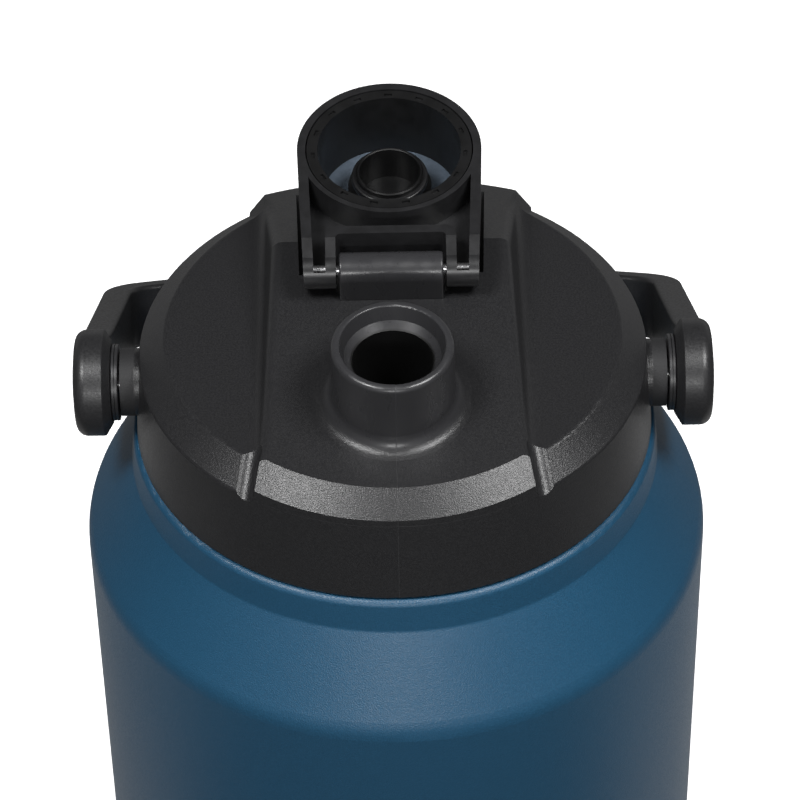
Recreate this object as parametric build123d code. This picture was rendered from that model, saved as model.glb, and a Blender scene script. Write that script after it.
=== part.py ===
from build123d import *
import os
from math import asin, cos, pi, radians, sin, tan

# Large insulated water jug, millimetres. The origin is the centre of the base, +Z is up and
# -Y is the front, the side that the drinking spout is on. The lid is drawn in its own frame,
# whose zero height is the lid's lower edge, and the flip cap about its hinge axis.

# vessel
body_radius = 76.2
steel = 0.8                     # wall of the outer shell and of the inner vessel
lid_plane = 260.0               # height of the lid's lower edge
shoulder_start = 31.0           # below the lid plane, where the straight wall ends
shoulder_end = 9.2              # below the lid plane, where the slope meets the neck band
shoulder_end_radius = 64.0
neck_band_radius = 63.2
neck_radius = 57.0              # outside of the mouth tube that the lid screws into
neck_height = 15.0              # the mouth tube's lip above the lid plane
liner_radius = 72.2
liner_floor = 8.8
foot_inner_radius = 64.0

# lid collar and the two flat areas beside the raised deck
collar_bottom_radius = 62.27
collar_edge_radius = 60.5
collar_edge_height = 22.0
top_radius = 54.2
top_height = 27.0
lid_wall = 3.0

# raised deck that runs from front to back, lowest at the front
deck_half_width = 31.1
deck_side_draft = 15.0          # degrees from vertical
deck_front_y = -54.6
deck_front_height = 28.0
deck_slope = 7.5
crest_y = 20.5
back_slope = 19.3
deck_edge_radius = 3.0
deck_foot_radius = 3.8
groove_top_x = 33.4
groove_bottom_x = 34.9
groove_radius = 3.2
groove_depth = 0.45
deck_chamfer_top = 5.8
deck_chamfer_side = 3.9

# spout
spout_y = -28.6
spout_base_height = 31.4
spout_tilt = 5.0
spout_height = 18.7
spout_radius = 14.15
spout_lip_inner = 12.2
spout_seat_radius = 11.15
spout_bore = 9.35

# hinge, and the pocket behind it where the open cap lies
hinge_y = 4.9
hinge_height = 42.2
knuckle_radius = 4.1
knuckle_half_width = 12.25
pin_radius = 1.25
pin_half_length = 20.2
pocket_floor = 27.3
pocket_front_y = 9.9
pocket_front_half_width = 21.9
pocket_back_half_width = 23.4

# flip cap, drawn open: its mouth up, the hinge axis at zero, the cup behind it
cap_open_tilt = 6.0
cup_y = 34.3
cup_radius = 22.2
cup_bore = 20.2
rim_z = 6.0
cap_top_z = -15.0
barrel_radius = 4.4
barrel_half_width = 20.5
notch_half_width = 13.0
notch_depth = 6.1
rib = 2.4
side_wall = 2.4
recess_floor_z = -1.4
slot_end_y = -3.4
insert_outer = 19.9
insert_inner = 17.3
insert_floor_z = -11.2
washer_thickness = 1.25
plug_tip_z = -1.8
plug_outer = 8.1
plug_bore = 7.3
plug_step_radius = 10.15
plug_step_z = -6.7
insert_marks = 15

# carrying handle, drawn along +Y in its own plane, folded back at rest
pivot_height = 12.2
handle_fold = 29.8              # degrees below horizontal at the back
handle_half_width = 8.0
hub_radius = 12.8
hub_face = 76.7
hub_inner_face = 69.0
arm_outer_start = 76.4
arm_outer_end = 74.6
arm_thickness = 7.2
bridge_thickness = 6.2
bridge_corner = 79.0
bridge_reach = 98.8
stem_radius = 8.15
stem_end = 65.2
hub_dome = 1.0                  # height of the hub's domed outer face
hub_edge_radius = 2.8
boss_length = 1.6
arm_root_half_width = 9.8
arm_taper_end = 24.0
arm_edge_radius = 1.2
washer_radius = 9.2
washer_inner_face = 65.65
pivot_pin_radius = 3.0
pivot_head_radius = 5.0

# plug of the lid that closes the mouth
core_radius = 55.4
core_wall = 2.5
core_bottom = -12.0
core_flange_height = 16.6
core_flange_thickness = 2.0
core_flange_radius = 57.9
thread_lead = 6.0
thread_depth = 0.6
thread_length = 10.5
running_gap = 0.05

os.makedirs("parts", exist_ok=True)

LID = Pos(0, 0, lid_plane)


def turned(points):
    """Solid of revolution about Z from an outline of (radius, height) points."""
    return revolve(Plane.XZ * make_face(Polyline(*points, close=True)), Axis.Z)


def pressed_sheet(points, radii, thickness):
    """Sheet-metal wall of revolution that follows a line of (radius, height) points."""
    line = FilletPolyline(*points, radius=radii)
    return revolve(Plane.XZ * trace(line, thickness), Axis.Z)


def ring(outer, inner, low, high):
    """Plain ring about Z."""
    body = Cylinder(outer, high - low) - Cylinder(inner, high - low)
    return Pos(0, 0, (low + high) / 2) * body


def cross_bar(radius, start, end, y, z):
    """Cylinder along X."""
    bar = Rot(0, 90, 0) * Cylinder(radius, end - start)
    return Pos((start + end) / 2, y, z) * bar


def side_extrusion(points, half_width):
    """Prism across X from an outline of (y, z) points."""
    return extrude(Plane.YZ * make_face(Polyline(*points, close=True)), half_width, both=True)


def deck_height(y):
    """Height of the front slope of the raised deck."""
    return deck_front_height + tan(radians(deck_slope)) * (y - deck_front_y)


# ---------------------------------------------------------------- vessel

def make_outer_shell():
    half = steel / 2
    points = [
        (foot_inner_radius, half),
        (body_radius - half, half),
        (body_radius - half, lid_plane - shoulder_start),
        (shoulder_end_radius - half, lid_plane - shoulder_end),
        (neck_band_radius - half, lid_plane - half - 0.4),
        (neck_radius, lid_plane - half - 0.4),
    ]
    return pressed_sheet(points, [5.0, 10.0, 2.0, 1.3], steel)


def make_inner_liner():
    half = steel / 2
    neck_bottom = lid_plane - 12.0
    points = [
        (0.0, liner_floor + half),
        (liner_radius - half, liner_floor + half),
        (liner_radius - half, lid_plane - shoulder_start - 3.0),
        (neck_radius - half, neck_bottom),
        (neck_radius - half, lid_plane + neck_height),
    ]
    return pressed_sheet(points, [12.0, 10.0, 6.0], steel)


def make_base_plate():
    half = steel / 2
    points = [(0.0, 3.0), (8.0, 3.0), (10.5, steel + half), (foot_inner_radius + 3.0, steel + half)]
    return pressed_sheet(points, [0.9, 0.9], steel)


def make_vacuum_seal():
    top = 3.0 - steel / 2
    return Pos(0, 0, top - 0.5) * Cylinder(2.5, 1.0)


def make_getter():
    return Pos(28, 0, liner_floor - 1.5) * Cylinder(6.0, 3.0)


# ---------------------------------------------------------------- lid

def spout_frame():
    return Pos(0, spout_y, spout_base_height) * Rot(spout_tilt, 0, 0)


def spout_channel(radius):
    """The drinking channel, from under the lid to above the spout."""
    return spout_frame() * Cylinder(radius, 130)


def make_collar():
    outline = make_face(Polyline(
        (0, 0),
        (collar_bottom_radius, 0),
        (collar_edge_radius, collar_edge_height),
        (top_radius, top_height),
        (0, top_height),
        close=True,
    ))
    corners = outline.vertices().sort_by(Axis.X)[-3:]
    outline = fillet([v for v in corners if v.Y < 1], 0.5)
    outline = fillet([v for v in outline.vertices() if abs(v.Y - collar_edge_height) < 0.1], 1.0)
    outline = fillet([v for v in outline.vertices()
                      if abs(v.Y - top_height) < 0.1 and v.X > 10], 1.6)
    return revolve(Plane.XZ * outline, Axis.Z)


def make_deck():
    """Raised deck: a wedge inside the collar's outline with drafted sides."""
    draft = (collar_bottom_radius - collar_edge_radius) / collar_edge_height
    low, high = 18.0, 45.0
    inset = 0.03
    cone = turned([
        (0, low),
        (collar_bottom_radius - draft * low - inset, low),
        (collar_bottom_radius - draft * high - inset, high),
        (0, high),
    ])
    crest = deck_height(crest_y)
    reach = 70.0
    wedge = side_extrusion([
        (-reach, low),
        (-reach, deck_height(-reach)),
        (crest_y, crest),
        (reach, crest - tan(radians(back_slope)) * (reach - crest_y)),
        (reach, low),
    ], reach)
    deck = cone & wedge
    front_edge = deck.edges().sort_by_distance((0, -collar_edge_radius, deck_height(-60)))[0]
    slope_face = deck.faces().sort_by_distance((0, -20, deck_height(-20)))[0]
    deck = chamfer(front_edge, deck_chamfer_top, deck_chamfer_side, reference=slope_face)
    deck = deck & extrude(Plane.XZ * deck_section(low, high), reach, both=True)
    crown_edges = deck.edges().filter_by(
        lambda e: 24 < abs(e.center().X) < deck_half_width and e.length > 20
        and e.center().Z > top_height + 1)
    overhang = make_foot_overhang()
    return fillet(crown_edges, deck_edge_radius) - overhang - mirror(overhang, Plane.YZ)


def make_foot_overhang():
    """Space over the collar's back chamfer, where the deck's foot falls away at 45 degrees."""
    reach, high = 70.0, 45.0
    fall = deck_foot_radius + 1.5
    section = make_face(Polyline(
        (deck_half_width, high),
        (deck_half_width, top_height),
        (deck_half_width + fall, top_height - fall),
        (deck_half_width + fall, high),
        close=True,
    ))
    return extrude(Plane.XZ * section, -reach) & ring(reach, top_radius, 15, high)


def deck_section(low, high):
    """Cross-section of the deck: drafted sides that curve out into the flat areas."""
    spread = tan(radians(deck_side_draft)) * (high - top_height)
    crown = deck_half_width - spread
    foot = top_height - 0.02
    edge = deck_half_width + deck_foot_radius
    section = make_face(Polyline(
        (-edge, low), (-edge, foot), (-deck_half_width, foot), (-crown, high),
        (crown, high), (deck_half_width, foot), (edge, foot), (edge, low), close=True))
    corners = [v for v in section.vertices() if abs(abs(v.X) - deck_half_width) < 0.01]
    return fillet(corners, deck_foot_radius)


def make_pocket():
    """Space behind the hinge for the open cap, open to the back and to the top."""
    plan = make_face(Polyline(
        (-pocket_front_half_width, pocket_front_y),
        (pocket_front_half_width, pocket_front_y),
        (pocket_back_half_width, 55),
        (pocket_back_half_width, 75),
        (-pocket_back_half_width, 75),
        (-pocket_back_half_width, 55),
        close=True,
    ))
    return Pos(0, 0, pocket_floor) * extrude(plan, 30)


def make_side_groove():
    """Rounded groove that carries the curve at the deck's right foot down the front chamfer."""
    start = Vector(groove_top_x, -(top_radius ** 2 - groove_top_x ** 2) ** 0.5, top_height)
    end_y = -(collar_edge_radius ** 2 - groove_bottom_x ** 2) ** 0.5
    end = Vector(groove_bottom_x, end_y, collar_edge_height)
    along = (end - start).normalized()
    lift = Vector(0, 0, groove_radius - groove_depth)
    plane = Plane(origin=start + lift - along * 8, z_dir=along)
    return extrude(plane * Circle(groove_radius), 22)


def make_knuckle():
    block = Pos(0, 0, -8) * Box(2 * knuckle_half_width, 2 * knuckle_radius, 16)
    body = block + cross_bar(knuckle_radius, -knuckle_half_width, knuckle_half_width, 0, 0)
    body = fillet(body.edges().filter_by(Axis.Z), 0.5)
    return Pos(0, hinge_y, hinge_height) * Rot(deck_slope, 0, 0) * body


def make_spout():
    outline = make_face(Polyline(
        (0, -4),
        (spout_radius + 0.25, -4),
        (spout_radius, spout_height),
        (spout_lip_inner, spout_height),
        (spout_seat_radius, spout_height - 3.8),
        (spout_bore, spout_height - 5.4),
        (0, spout_height - 5.4),
        close=True,
    ))
    outer_lip = [v for v in outline.vertices() if v.X > spout_radius - 0.1 and v.Y > 5]
    outline = fillet(outer_lip, 1.35)
    inner_lip = [v for v in outline.vertices() if abs(v.X - spout_lip_inner) < 0.01]
    outline = fillet(inner_lip, 0.45)
    return spout_frame() * revolve(Plane.XZ * outline, Axis.Z)


def make_lid_shell():
    body = make_collar() + make_deck()
    body = body - make_side_groove() - mirror(make_side_groove(), Plane.YZ)
    body = body - make_pocket()
    knuckle = make_knuckle() & Pos(0, 0, 60) * Box(80, 80, 80)
    body = body + knuckle
    body = body + make_spout()
    seam = body.edges().filter_by(GeomType.ELLIPSE).filter_by(lambda e: abs(e.center().Y - spout_y) < 2)
    body = fillet(seam, 4.0)
    for side in (-1, 1):
        inner, outer = side * 59.6, side * stem_end
        stem = cross_bar(stem_radius, min(inner, outer), max(inner, outer), 0, pivot_height)
        body = body + stem
    skirt_inner = collar_bottom_radius - lid_wall
    cavity = turned([
        (0, -1),
        (skirt_inner, -1),
        (skirt_inner - 1.1, collar_edge_height - 3),
        (top_radius - 2.0, top_height - lid_wall),
        (0, top_height - lid_wall),
    ])
    body = body - cavity
    body = body - make_deck_hollow()
    body = body - spout_channel(spout_bore)
    body = body - cross_bar(pin_radius + running_gap, -15, 15, hinge_y, hinge_height)
    body = body - cross_bar(pivot_pin_radius, -70, 70, 0, pivot_height)
    return LID * body


def make_deck_hollow():
    """Air space under the deck, round the spout's tube."""
    low = top_height - lid_wall
    wall = 3.2
    back = 6.0
    hollow = side_extrusion([
        (-49, low - 0.01),
        (-49, deck_height(-49) - wall),
        (back, deck_height(back) - wall),
        (back, low - 0.01),
    ], deck_half_width - 5.5)
    return hollow - spout_channel(spout_bore + 3.0)


def make_lid_core():
    """Threaded plug: a cup with a flange on top and the channel's tube through it."""
    inner = core_radius - core_wall
    flange_top = core_flange_height + core_flange_thickness
    cup = turned([
        (0, core_bottom),
        (core_radius - 1.0, core_bottom),
        (core_radius, core_bottom + 1.0),
        (core_radius, core_flange_height),
        (core_flange_radius, core_flange_height),
        (core_flange_radius, flange_top),
        (inner, flange_top),
        (inner, core_bottom + core_wall),
        (0, core_bottom + core_wall),
    ])
    tube_top = top_height - lid_wall - 1.5
    tube = spout_channel(spout_bore + 2.0) & Pos(0, 0, (tube_top + core_bottom) / 2) * Box(
        200, 200, tube_top - core_bottom)
    start = core_bottom + 3.5
    helix = Pos(0, 0, start) * Helix(thread_lead, thread_length, core_radius)
    crest = 0.8
    root = 1.6
    section = make_face(Polyline(
        (-0.3, -root), (thread_depth, -crest), (thread_depth, crest), (-0.3, root), close=True))
    station = Plane(origin=helix @ 0, x_dir=(1, 0, 0), z_dir=(0, -1, 0))
    thread = sweep(station * section, path=helix, is_frenet=True)
    core = cup + tube + thread
    return LID * (core - spout_channel(spout_bore))


def make_lid_foam():
    inner = core_radius - core_wall - 0.2
    body = turned([
        (0, core_bottom + core_wall + 0.1),
        (inner, core_bottom + core_wall + 0.1),
        (inner, top_height - lid_wall - 2.0),
        (0, top_height - lid_wall - 2.0),
    ])
    return LID * (body - spout_channel(spout_bore + 2.2))


def make_channel_seal():
    top = top_height - lid_wall
    slab = Pos(0, 0, top - 0.75) * Box(200, 200, 1.5 - running_gap)
    return LID * ((spout_channel(spout_bore + 1.9) - spout_channel(spout_bore + 0.2)) & slab)


def make_lid_gasket():
    low = neck_height + running_gap
    return LID * ring(core_flange_radius, core_radius + 0.3, low, core_flange_height - running_gap)


def make_pivot_pin(side):
    """Headed pin pressed into the lid's stem. Its head holds the handle's hub."""
    shank = cross_bar(pivot_pin_radius, side * 66 - 6.2, side * 66 + 6.2, 0, pivot_height)
    middle = side * 72.8
    head = cross_bar(pivot_head_radius, middle - 1.0, middle + 1.0, 0, pivot_height)
    return LID * (shank + head)


def make_pivot_washer(side):
    outer_face = hub_inner_face - boss_length - 0.1
    middle = side * (washer_inner_face + outer_face) / 2
    half = (outer_face - washer_inner_face) / 2
    disc = cross_bar(washer_radius, middle - half, middle + half, 0, pivot_height)
    disc = fillet(disc.edges().filter_by(GeomType.CIRCLE), 0.25)
    groove = cross_bar(washer_radius + 1, middle - 0.12, middle + 0.12, 0, pivot_height)
    groove = groove - cross_bar(washer_radius - 0.4, middle - 1, middle + 1, 0, pivot_height)
    hole = cross_bar(pivot_pin_radius, middle - 2, middle + 2, 0, pivot_height)
    return LID * (disc - groove - hole)


# ---------------------------------------------------------------- carrying handle

def make_handle():
    inner_start = arm_outer_start - arm_thickness
    inner_end = arm_outer_end - arm_thickness
    inner_corner = bridge_corner - 3.5
    inner_reach = bridge_reach - bridge_thickness
    outline = make_face([
        Line((arm_outer_start, 0), (arm_outer_end, bridge_corner)),
        ThreePointArc((arm_outer_end, bridge_corner), (0, bridge_reach), (-arm_outer_end, bridge_corner)),
        Line((-arm_outer_end, bridge_corner), (-arm_outer_start, 0)),
        Line((-arm_outer_start, 0), (-inner_start, 0)),
        Line((-inner_start, 0), (-inner_end, inner_corner)),
        ThreePointArc((-inner_end, inner_corner), (0, inner_reach), (inner_end, inner_corner)),
        Line((inner_end, inner_corner), (inner_start, 0)),
        Line((inner_start, 0), (arm_outer_start, 0)),
    ])
    outline = fillet([v for v in outline.vertices() if v.Y > 60 and abs(v.X) > arm_outer_end - 1], 14)
    outline = fillet([v for v in outline.vertices()
                      if 60 < v.Y < 76 and abs(abs(v.X) - inner_end) < 0.5], 9)
    strap = extrude(outline, hub_radius, both=True)
    taper = make_face(Polyline(
        (0, -arm_root_half_width), (arm_taper_end, -handle_half_width), (120, -handle_half_width),
        (120, handle_half_width), (arm_taper_end, handle_half_width), (0, arm_root_half_width), close=True))
    taper = fillet([v for v in taper.vertices() if 1 < v.X < 100], 60)
    strap = strap & extrude(Plane.YZ * taper, 90, both=True)
    long_edges = strap.edges().filter_by(lambda e: abs(e.center().Z) > handle_half_width - 0.1)
    strap = fillet(long_edges, arm_edge_radius)
    strap = strap + make_hub()
    strap = strap + mirror(make_hub(), Plane.YZ)
    for side in (-1, 1):
        bore = sorted((side * 60, side * 74.4))
        head = sorted((side * 71.5, side * 74.4))
        strap = strap - cross_bar(pivot_pin_radius + running_gap, *bore, 0, 0)
        strap = strap - cross_bar(pivot_head_radius + 0.2, *head, 0, 0)
    return LID * Pos(0, 0, pivot_height) * Rot(-handle_fold, 0, 0) * strap


def make_hub():
    """Round hub of the handle's right arm: a domed outer face and a conical boss inside."""
    boss_face = hub_inner_face - boss_length
    ball = (hub_radius ** 2 + hub_dome ** 2) / (2 * hub_dome)
    half_angle = asin(hub_radius / ball) / 2
    dome_middle = (hub_face - ball + ball * cos(half_angle), ball * sin(half_angle))
    face = make_face([
        Line((boss_face, 0), (boss_face, hub_radius - 2.8)),
        Line((boss_face, hub_radius - 2.8), (hub_inner_face, hub_radius - 0.2)),
        Line((hub_inner_face, hub_radius - 0.2), (hub_inner_face + 0.2, hub_radius)),
        Line((hub_inner_face + 0.2, hub_radius), (hub_face - hub_dome, hub_radius)),
        ThreePointArc((hub_face - hub_dome, hub_radius), dome_middle, (hub_face, 0)),
        Line((hub_face, 0), (boss_face, 0)),
    ])
    rim = [v for v in face.vertices() if abs(v.X - hub_face + hub_dome) < 0.01]
    return revolve(fillet(rim, hub_edge_radius), Axis.X)


# ---------------------------------------------------------------- flip cap

CAP = LID * Pos(0, hinge_y, hinge_height) * Rot(cap_open_tilt, 0, 0)


def cap_plan(inset):
    """Plan of the cap: a round cup with straight sides that run to the hinge barrels."""
    half = barrel_half_width - inset
    hinge_end = Line((-half, -barrel_radius - 1), (half, -barrel_radius - 1))
    cup = Pos(0, cup_y) * CenterArc((0, 0), cup_radius - inset, 0, 360)
    return make_hull([hinge_end, cup])


def make_cap_shell():
    tall = rim_z - cap_top_z
    body = Pos(0, 0, cap_top_z) * extrude(cap_plan(0), tall)
    body = fillet(body.edges().filter_by(lambda e: abs(e.center().Z - cap_top_z) < 0.01
                                         and e.center().Y > 5), 2.0)
    side = side_extrusion([
        (0, 4.4), (5, rim_z), (60, rim_z), (60, cap_top_z), (14, cap_top_z), (3.0, -3.2), (0, -4.4),
    ], 40)
    side = side + cross_bar(barrel_radius, -40, 40, 0, 0)
    body = body & side
    body = body - Pos(0, cup_y, (rim_z + cap_top_z + 2.5) / 2) * Cylinder(
        cup_bore, rim_z - cap_top_z - 2.5)
    recess = cap_plan(side_wall) - Pos(0, cup_y) * Circle(cup_bore + 1.3)
    recess = recess - notch_plan(rib)
    recess = recess - Pos(0, slot_end_y - 10) * Rectangle(80, 20)
    recess = recess - Pos(0, cup_y + 20) * Rectangle(80, 40)
    body = body - Pos(0, 0, recess_floor_z) * extrude(recess, 20)
    body = body - Pos(0, 0, -30) * extrude(notch_plan(0), 60)
    return CAP * (body - cross_bar(pin_radius, -30, 30, 0, 0))


def notch_plan(margin):
    """Plan of the notch that the lid's knuckle fits in, widened by a margin."""
    deep = notch_depth + margin
    plan = Pos(0, deep - 15) * Rectangle(2 * (notch_half_width + margin), 30)
    return fillet(plan.vertices().group_by(Axis.Y)[-1], 1.2 + margin / 2)


def make_cap_insert():
    body = turned([
        (insert_inner, rim_z - 0.2),
        (insert_outer, rim_z - 0.2),
        (insert_outer, rim_z - 2.2),
        (insert_outer - 0.9, rim_z - 2.6),
        (insert_outer - 0.9, insert_floor_z),
        (insert_inner - 0.7, insert_floor_z),
    ])
    mark_radius = 18.4
    for index in range(insert_marks):
        angle = 90 + index * 360 / insert_marks
        body = body - Rot(0, 0, angle) * Pos(mark_radius, 0, rim_z) * Box(0.9, 1.9, 1.6)
    return CAP * Pos(0, cup_y, 0) * body


def make_cap_washer():
    top = insert_floor_z - running_gap
    return CAP * Pos(0, cup_y, 0) * ring(insert_outer - 0.5, plug_step_radius + 0.2,
                                         top - washer_thickness + 2 * running_gap, top)


def make_cap_plug():
    floor = cap_top_z + 2.5 + running_gap
    body = turned([
        (0, floor),
        (plug_step_radius, floor),
        (plug_step_radius, plug_step_z),
        (plug_outer, plug_step_z),
        (plug_outer, plug_tip_z - 0.3),
        (plug_outer - 0.3, plug_tip_z),
        (plug_bore + 0.2, plug_tip_z),
        (plug_bore, plug_tip_z - 0.2),
        (plug_bore - 0.1, floor + 1.4),
        (0, floor + 1.4),
    ])
    return CAP * Pos(0, cup_y, 0) * body


def make_plug_seal():
    high = rim_z - 9.2
    body = ring(spout_bore - 0.1, plug_outer, high - 1.9, high)
    outer = [e for e in body.edges().filter_by(GeomType.CIRCLE) if e.length > 2 * pi * 9]
    return CAP * Pos(0, cup_y, 0) * fillet(outer, 0.5)


def make_hinge_pin():
    pin = cross_bar(pin_radius, -pin_half_length, pin_half_length, 0, 0)
    return CAP * chamfer(pin.edges().filter_by(GeomType.CIRCLE), 0.2)


pieces = {
    "outer_shell": make_outer_shell(),
    "inner_liner": make_inner_liner(),
    "base_plate": make_base_plate(),
    "vacuum_seal": make_vacuum_seal(),
    "getter": make_getter(),
    "lid_shell": make_lid_shell(),
    "lid_core": make_lid_core(),
    "lid_foam": make_lid_foam(),
    "channel_seal": make_channel_seal(),
    "lid_gasket": make_lid_gasket(),
    "pivot_pin_left": make_pivot_pin(-1),
    "pivot_pin_right": make_pivot_pin(1),
    "pivot_washer_left": make_pivot_washer(-1),
    "pivot_washer_right": make_pivot_washer(1),
    "handle": make_handle(),
    "cap_shell": make_cap_shell(),
    "cap_insert": make_cap_insert(),
    "cap_washer": make_cap_washer(),
    "cap_plug": make_cap_plug(),
    "plug_seal": make_plug_seal(),
    "hinge_pin": make_hinge_pin(),
}
for name, shape in pieces.items():
    export_step(shape, f"parts/{name}.step")
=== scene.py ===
import math

import bpy
from mathutils import Matrix, Vector

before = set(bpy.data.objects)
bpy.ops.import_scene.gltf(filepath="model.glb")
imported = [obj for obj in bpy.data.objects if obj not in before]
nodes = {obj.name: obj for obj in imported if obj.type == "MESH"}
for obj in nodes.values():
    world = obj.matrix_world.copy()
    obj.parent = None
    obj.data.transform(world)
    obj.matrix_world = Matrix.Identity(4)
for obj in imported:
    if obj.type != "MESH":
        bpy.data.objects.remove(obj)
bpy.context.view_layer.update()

MM = 0.001
scene = bpy.context.scene
scene.view_settings.view_transform = "Standard"

# The lid's own heights count from the vessel's mouth plane, as in the CAD.
LID_PLANE = 260 * MM
DECK_TOP_AT_KNUCKLE = LID_PLANE + 35.4 * MM
KNUCKLE_HALF_WIDTH = 12.3 * MM
KNUCKLE_Y = 4.4 * MM
KNUCKLE_HALF_DEPTH = 5.0 * MM
STEM_START_X = 61.6 * MM
SPOUT_RADIUS = 14.6 * MM
BORE_RADIUS = 9.5 * MM
SPOUT_FRONT_Y = -40.0 * MM
PARTING_X = 0.5 * MM
SPOUT_FOOT = Vector((0, -28.6 * MM, LID_PLANE + 31.4 * MM))
SPOUT_TILT = math.radians(5.0)


# ---------------------------------------------------------------- shader helpers

class Shader:
    """A material's node tree, with short calls for the nodes used here."""

    def __init__(self, name):
        self.material = bpy.data.materials.new(name)
        self.material.use_nodes = True
        self.tree = self.material.node_tree
        self.bsdf = self.tree.nodes["Principled BSDF"]
        self.place = self.tree.nodes.new("ShaderNodeTexCoord").outputs["Object"]

    def link(self, source, target):
        self.tree.links.new(source, target)

    def put(self, socket, value):
        """Sets a socket to a number, or links it where the value is another node's output."""
        if isinstance(value, bpy.types.NodeSocket):
            self.link(value, socket)
        else:
            socket.default_value = value

    def distance_to(self, value, place):
        return self.math("ABSOLUTE", self.math("SUBTRACT", value, place))

    def noise(self, scale, detail=2.0, stretch=(1, 1, 1), roughness=0.5):
        """Noise of a size given in features per metre."""
        node = self.tree.nodes.new("ShaderNodeTexNoise")
        node.inputs["Scale"].default_value = scale
        node.inputs["Detail"].default_value = detail
        node.inputs["Roughness"].default_value = roughness
        self.link(self.stretched(stretch), node.inputs["Vector"])
        return node.outputs["Fac"]

    def stretched(self, stretch):
        node = self.tree.nodes.new("ShaderNodeMapping")
        node.inputs["Scale"].default_value = stretch
        self.link(self.place, node.inputs["Vector"])
        return node.outputs["Vector"]

    def math(self, operation, a, b=0.0):
        node = self.tree.nodes.new("ShaderNodeMath")
        node.operation = operation
        self.put(node.inputs[0], a)
        self.put(node.inputs[1], b)
        return node.outputs[0]

    def span(self, value, low, high, out_low=0.0, out_high=1.0):
        """Maps low..high smoothly to out_low..out_high."""
        node = self.tree.nodes.new("ShaderNodeMapRange")
        node.interpolation_type = "SMOOTHSTEP"
        self.put(node.inputs["Value"], value)
        self.put(node.inputs["From Min"], low)
        self.put(node.inputs["From Max"], high)
        self.put(node.inputs["To Min"], out_low)
        self.put(node.inputs["To Max"], out_high)
        return node.outputs["Result"]

    def blend(self, mask, a, b):
        """Number that is a where the mask is 0 and b where it is 1."""
        node = self.tree.nodes.new("ShaderNodeMix")
        node.data_type = "FLOAT"
        self.put(node.inputs[0], mask)
        self.put(node.inputs[2], a)
        self.put(node.inputs[3], b)
        return node.outputs[0]

    def blend_colour(self, mask, a, b):
        node = self.tree.nodes.new("ShaderNodeMix")
        node.data_type = "RGBA"
        self.put(node.inputs[0], mask)
        for socket, colour in ((node.inputs[6], a), (node.inputs[7], b)):
            self.put(socket, (*colour, 1.0) if isinstance(colour, tuple) else colour)
        return node.outputs[2]

    def axes(self):
        node = self.tree.nodes.new("ShaderNodeSeparateXYZ")
        self.link(self.place, node.inputs[0])
        return node.outputs

    def bump(self, height, distance, strength=1.0, under=None):
        node = self.tree.nodes.new("ShaderNodeBump")
        node.inputs["Distance"].default_value = distance
        self.put(node.inputs["Strength"], strength)
        self.link(height, node.inputs["Height"])
        if under is not None:
            self.link(under, node.inputs["Normal"])
        return node.outputs["Normal"]

    def finish(self, colour, roughness, normal=None, **plain):
        """Wires the main sockets. The plain values are the same all over the surface."""
        self.put(self.bsdf.inputs["Base Color"], colour)
        self.put(self.bsdf.inputs["Roughness"], roughness)
        if normal is not None:
            self.link(normal, self.bsdf.inputs["Normal"])
        for socket, value in plain.items():
            self.bsdf.inputs[socket.replace("_", " ")].default_value = value
        return self.material


# ---------------------------------------------------------------- materials

def powder_coat():
    """Blue paint: speckle and grain of about a third of a millimetre, and a slow drift in tone."""
    s = Shader("powder_coat")
    grain = s.noise(2600, 3.0)
    drift = s.noise(35, 2.0)
    colour = s.blend_colour(s.span(grain, 0.35, 0.65), (0.0080, 0.056, 0.112), (0.0125, 0.071, 0.138))
    colour = s.blend_colour(s.span(drift, 0.3, 0.7, 0.0, 0.25), colour, (0.0105, 0.063, 0.125))
    rough = s.span(s.noise(1800, 2.0), 0.3, 0.7, 0.35, 0.43)
    normal = s.bump(s.noise(3200, 2.0), 0.10 * MM, 1.0)
    normal = s.bump(s.noise(300, 2.0), 0.05 * MM, 0.25, normal)
    return s.finish(colour, rough, normal, Specular_IOR_Level=0.55)


def handle_plastic():
    """Black plastic with a fine moulded texture."""
    s = Shader("handle_plastic")
    grain = s.noise(2300, 3.0)
    colour = s.blend_colour(s.span(grain, 0.35, 0.65), (0.012, 0.012, 0.013), (0.018, 0.018, 0.019))
    rough = s.span(s.noise(1610, 2.0), 0.3, 0.7, 0.34, 0.46)
    normal = s.bump(grain, 0.035 * MM, 0.7)
    return s.finish(colour, rough, normal, Specular_IOR_Level=0.5)


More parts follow.
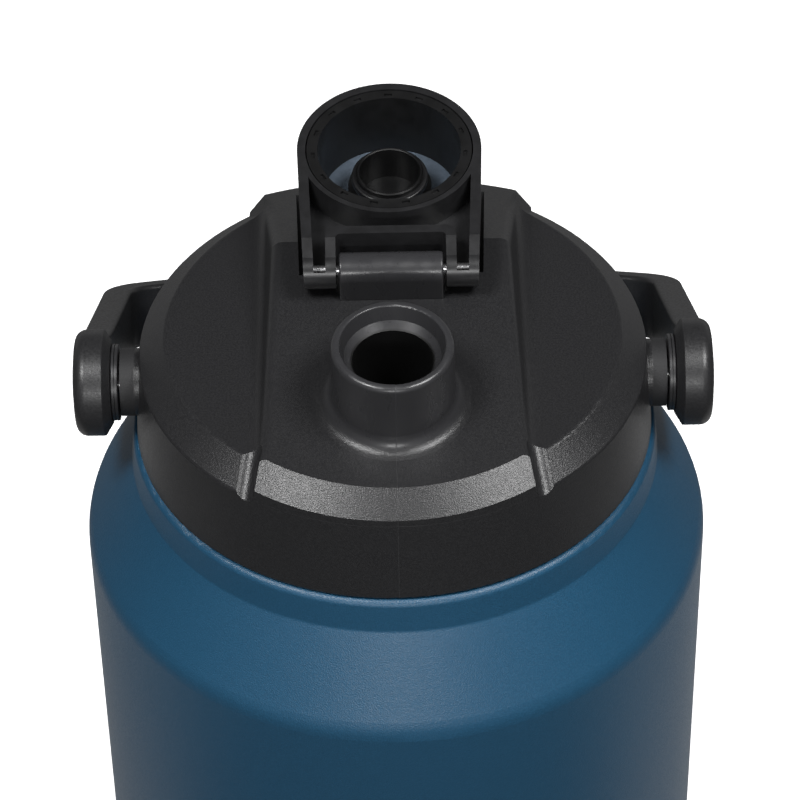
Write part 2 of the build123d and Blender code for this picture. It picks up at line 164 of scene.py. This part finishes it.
def lid_masks(s):
    """Where the lid is spout, bore, smooth, stem and parting line, each from 0 to 1."""
    x, y, z = s.axes()
    # distance from the spout's leaning axis
    lean = s.math("MULTIPLY", s.math("SUBTRACT", z, SPOUT_FOOT.z), math.tan(SPOUT_TILT))
    dy = s.math("ADD", s.math("SUBTRACT", y, SPOUT_FOOT.y), lean)
    radius = s.math("SQRT", s.math("ADD", s.math("MULTIPLY", x, x), s.math("MULTIPLY", dy, dy)))
    spout = s.span(radius, SPOUT_RADIUS, SPOUT_RADIUS + 2.4 * MM, 1.0, 0.0)
    bore = s.math("MULTIPLY", s.span(radius, BORE_RADIUS, BORE_RADIUS + 0.4 * MM, 1.0, 0.0), spout)
    sideways = s.math("ABSOLUTE", x)
    across = s.span(sideways, KNUCKLE_HALF_WIDTH, KNUCKLE_HALF_WIDTH + 0.3 * MM, 1.0, 0.0)
    along = s.span(s.distance_to(y, KNUCKLE_Y), KNUCKLE_HALF_DEPTH, KNUCKLE_HALF_DEPTH + 0.3 * MM,
                   1.0, 0.0)
    above_deck = s.span(z, DECK_TOP_AT_KNUCKLE, DECK_TOP_AT_KNUCKLE + 0.6 * MM)
    knuckle = s.math("MULTIPLY", s.math("MULTIPLY", across, along), above_deck)
    smooth_with_painted_fill = s.math("MAXIMUM", spout, knuckle)
    stems = s.span(sideways, STEM_START_X, STEM_START_X + 0.4 * MM)
    parting = s.math("MULTIPLY", s.span(s.distance_to(x, PARTING_X), 0.04 * MM, 0.16 * MM, 1.0, 0.0),
                     s.span(y, SPOUT_FRONT_Y, SPOUT_FRONT_Y + 1.0 * MM, 1.0, 0.0))
    return bore, smooth_with_painted_fill, stems, parting


def lid_plastic():
    """Fine moulded texture, a smoother spout and knuckle with a lighter tone that is partly painted
    fill light, duller stems and a bore darkened by painted shade.
    """
    s = Shader("lid_plastic")
    bore, smooth_with_painted_fill, stems, parting = lid_masks(s)
    grain = s.noise(2300, 3.0)
    streaks = s.noise(320, 2.0, stretch=(1, 1, 0.35))

    colour = s.blend_colour(s.span(grain, 0.35, 0.65), (0.012, 0.012, 0.013), (0.018, 0.018, 0.019))
    # Lighter tone on the spout and knuckle: a smoother plastic, and also painted fill light standing
    # in for light on their front faces.
    colour = s.blend_colour(smooth_with_painted_fill, colour, (0.026, 0.026, 0.028))
    colour = s.blend_colour(stems, colour, (0.010, 0.010, 0.011))
    # Near-black bore: painted shade inside the spout's hole, darker than the lid's own plastic.
    colour = s.blend_colour(bore, colour, (0.002, 0.002, 0.002))
    colour = s.blend_colour(s.math("MULTIPLY", parting, 0.25), colour, (0.060, 0.060, 0.062))

    rough_grain = s.span(s.noise(1700, 2.0), 0.3, 0.7, 0.29, 0.37)
    rough_smooth = s.span(streaks, 0.3, 0.7, 0.26, 0.36)
    rough = s.blend(smooth_with_painted_fill, rough_grain, rough_smooth)
    rough = s.blend(stems, rough, 0.7)
    rough = s.blend(bore, rough, 0.45)

    normal = s.bump(s.noise(3600, 2.0), 0.07 * MM, s.blend(smooth_with_painted_fill, 0.9, 0.15))
    normal = s.bump(streaks, 0.03 * MM, s.blend(smooth_with_painted_fill, 0.0, 0.05), normal)
    normal = s.bump(parting, 0.05 * MM, 1.0, normal)
    return s.finish(colour, rough, normal, Specular_IOR_Level=0.5)


def moulded_black(name, low, high, mottle=0.08, tone=0.016):
    """Smooth moulded plastic with faint flow marks."""
    s = Shader(name)
    flow = s.noise(240, 4.0, roughness=0.6)
    fine = s.noise(2600, 2.0)
    dark, light = (tone, tone, tone * 1.05), (tone * 1.4, tone * 1.4, tone * 1.5)
    colour = s.blend_colour(s.span(flow, 0.3, 0.7), dark, light)
    rough = s.span(flow, 0.3, 0.7, low, high)
    normal = s.bump(fine, 0.02 * MM, 0.35)
    normal = s.bump(flow, 0.04 * MM, mottle, normal)
    return s.finish(colour, rough, normal, Specular_IOR_Level=0.5)


def silicone():
    """Blue-grey seal rubber with a dusty surface."""
    s = Shader("silicone")
    dust = s.noise(900, 3.0)
    colour = s.blend_colour(s.span(dust, 0.3, 0.7), (0.070, 0.092, 0.120), (0.090, 0.115, 0.148))
    rough = s.span(dust, 0.3, 0.7, 0.45, 0.58)
    normal = s.bump(s.noise(1500, 2.0), 0.02 * MM, 0.4)
    return s.finish(colour, rough, normal, Specular_IOR_Level=0.4)


def steel(name="steel", along=(1, 1, 30)):
    """Brushed steel, whose lines are packed along the axis that is stretched most."""
    s = Shader(name)
    lines = s.noise(600, 3.0, stretch=along)
    colour = s.blend_colour(s.span(lines, 0.3, 0.7), (0.55, 0.55, 0.56), (0.70, 0.70, 0.71))
    rough = s.span(lines, 0.3, 0.7, 0.20, 0.34)
    normal = s.bump(lines, 0.01 * MM, 0.3)
    return s.finish(colour, rough, normal, Metallic=1.0)


def foam():
    s = Shader("foam")
    cells = s.noise(700, 3.0)
    colour = s.blend_colour(s.span(cells, 0.3, 0.7), (0.62, 0.56, 0.42), (0.76, 0.70, 0.56))
    normal = s.bump(cells, 0.15 * MM, 0.6)
    return s.finish(colour, s.span(cells, 0.3, 0.7, 0.75, 0.9), normal)


def solder_glass():
    s = Shader("solder_glass")
    cloud = s.noise(800, 3.0)
    colour = s.blend_colour(s.span(cloud, 0.3, 0.7), (0.20, 0.19, 0.17), (0.32, 0.30, 0.27))
    return s.finish(colour, s.span(cloud, 0.3, 0.7, 0.15, 0.3), s.bump(cloud, 0.03 * MM, 0.3))


def paint(node, material):
    obj = nodes[node]
    obj.data.materials.clear()
    obj.data.materials.append(material)


coat = powder_coat()
steel_body = steel()
steel_pin = steel("steel_pin", (30, 1, 1))
cap_black = moulded_black("cap_plastic", 0.30, 0.36, tone=0.011)
paints = {
    "outer_shell": coat,
    "base_plate": coat,
    "inner_liner": steel_body,
    "getter": steel_body,
    "vacuum_seal": solder_glass(),
    "lid_shell": lid_plastic(),
    "lid_core": moulded_black("core_plastic", 0.35, 0.45),
    "lid_foam": foam(),
    "lid_gasket": silicone(),
    "channel_seal": silicone(),
    "pivot_pin_left": steel_pin,
    "pivot_pin_right": steel_pin,
    "pivot_washer_left": moulded_black("washer_plastic", 0.3, 0.4),
    "pivot_washer_right": moulded_black("washer_plastic_right", 0.3, 0.4),
    "handle": handle_plastic(),
    "cap_shell": cap_black,
    # The insert's very dark tone is painted shade in the open cap's hollow.
    "cap_insert": moulded_black("insert_plastic_painted_shade", 0.40, 0.46, 0.03, 0.003),
    "cap_washer": silicone(),
    # The plug's very dark tone is painted shade inside its hollow.
    "cap_plug": moulded_black("plug_plastic_painted_shade", 0.32, 0.38, 0.03, 0.003),
    "plug_seal": moulded_black("black_rubber", 0.32, 0.42, tone=0.006),
    "hinge_pin": steel_pin,
}
for node, material in paints.items():
    paint(node, material)


# ---------------------------------------------------------------- studio

def area_light(name, place, aim, size, power):
    light = bpy.data.lights.new(name, "AREA")
    light.shape = "RECTANGLE"
    light.size, light.size_y = size
    light.energy = power
    obj = bpy.data.objects.new(name, light)
    scene.collection.objects.link(obj)
    obj.location = place
    obj.rotation_euler = (Vector(aim) - Vector(place)).to_track_quat("-Z", "Y").to_euler()
    return obj


def make_floor():
    mesh = bpy.data.meshes.new("floor")
    reach = 6.0
    corners = [(-reach, -reach, 0), (reach, -reach, 0), (reach, reach, 0), (-reach, reach, 0)]
    mesh.from_pydata(corners, [], [(0, 1, 2, 3)])
    floor = bpy.data.objects.new("floor", mesh)
    scene.collection.objects.link(floor)
    s = Shader("floor_white")
    colour = s.blend_colour(s.span(s.noise(3, 2.0), 0.3, 0.7), (0.90, 0.90, 0.90), (0.92, 0.92, 0.92))
    s.finish(colour, 0.6)
    s.bsdf.inputs["Emission Color"].default_value = (1, 1, 1, 1)
    s.bsdf.inputs["Emission Strength"].default_value = 0.75
    mesh.materials.append(s.material)
    floor.location.z = -0.0002
    floor.visible_diffuse = False
    floor.visible_glossy = False


def make_world():
    """Dim surroundings with a soft glow in front and along the horizon behind."""
    world = bpy.data.worlds.new("studio")
    world.use_nodes = True
    tree = world.node_tree
    place = tree.nodes.new("ShaderNodeTexCoord")
    axes = tree.nodes.new("ShaderNodeSeparateXYZ")
    tree.links.new(place.outputs["Generated"], axes.inputs[0])

    def span(axis, start, end, out_start, out_end):
        node = tree.nodes.new("ShaderNodeMapRange")
        node.interpolation_type = "SMOOTHSTEP"
        tree.links.new(axes.outputs[axis], node.inputs["Value"])
        names = ("From Min", "From Max", "To Min", "To Max")
        for name, value in zip(names, (start, end, out_start, out_end)):
            node.inputs[name].default_value = value
        return node.outputs["Result"]

    def combine(operation, a, b):
        node = tree.nodes.new("ShaderNodeMath")
        node.operation = operation
        tree.links.new(a, node.inputs[0])
        tree.links.new(b, node.inputs[1])
        return node.outputs[0]

    below = span("Z", -0.20, 0.05, 0.10, 0.06)
    front = combine("MULTIPLY", span("Y", -0.80, -0.30, 0.30, 0.0), span("Z", -0.15, 0.0, 0.0, 1.0))
    back = combine("MULTIPLY", span("Y", 0.30, 0.80, 0.0, 0.28), span("Z", 0.0, 0.38, 1.0, 0.0))
    back = combine("MULTIPLY", back, span("Z", -0.25, 0.0, 0.2, 1.0))
    background = tree.nodes["Background"]
    tree.links.new(combine("ADD", combine("ADD", below, front), back), background.inputs["Color"])
    background.inputs["Strength"].default_value = 1.0
    scene.world = world


def make_camera():
    """Camera that looks down on the lid from the front, 43 degrees above the horizon."""
    tilt, roll, distance = 0.7491, -0.0187, 889.05 * MM
    target = Vector((1.49 * MM, 4.97 * MM, LID_PLANE))
    forward = Vector((0, math.cos(tilt), -math.sin(tilt)))
    level_up = Vector((0, math.sin(tilt), math.cos(tilt)))
    level_right = Vector((1, 0, 0))
    right = math.cos(roll) * level_right + math.sin(roll) * level_up
    up = -math.sin(roll) * level_right + math.cos(roll) * level_up
    data = bpy.data.cameras.new("camera")
    data.sensor_width = 36.0
    data.lens = 164.45
    data.clip_start = 0.01
    camera = bpy.data.objects.new("camera", data)
    scene.collection.objects.link(camera)
    turn = Matrix((right, up, -forward)).transposed().to_4x4()
    camera.matrix_world = Matrix.Translation(target - forward * distance) @ turn
    scene.camera = camera


def make_lights():
    """Two softboxes over the lid, one in front, and two cards on the floor beside the jug."""
    lid = (0, 0, LID_PLANE)
    area_light("top_left", (-0.40, -0.32, 1.14), lid, (0.26, 0.30), 7.5)
    area_light("top_right", (0.47, -0.27, 1.12), lid, (0.40, 0.30), 8.5)
    area_light("front", (0, -1.35, 0.74), lid, (0.42, 0.17), 5.5)
    for x, power in ((-0.21, 0.05), (0.21, 0.065)):
        card = area_light("floor_card", (x, 0.10, 0.004), (x, 0.10, 1), (0.20, 0.30), power)
        card.visible_camera = False


make_floor()
make_world()
make_camera()
make_lights()
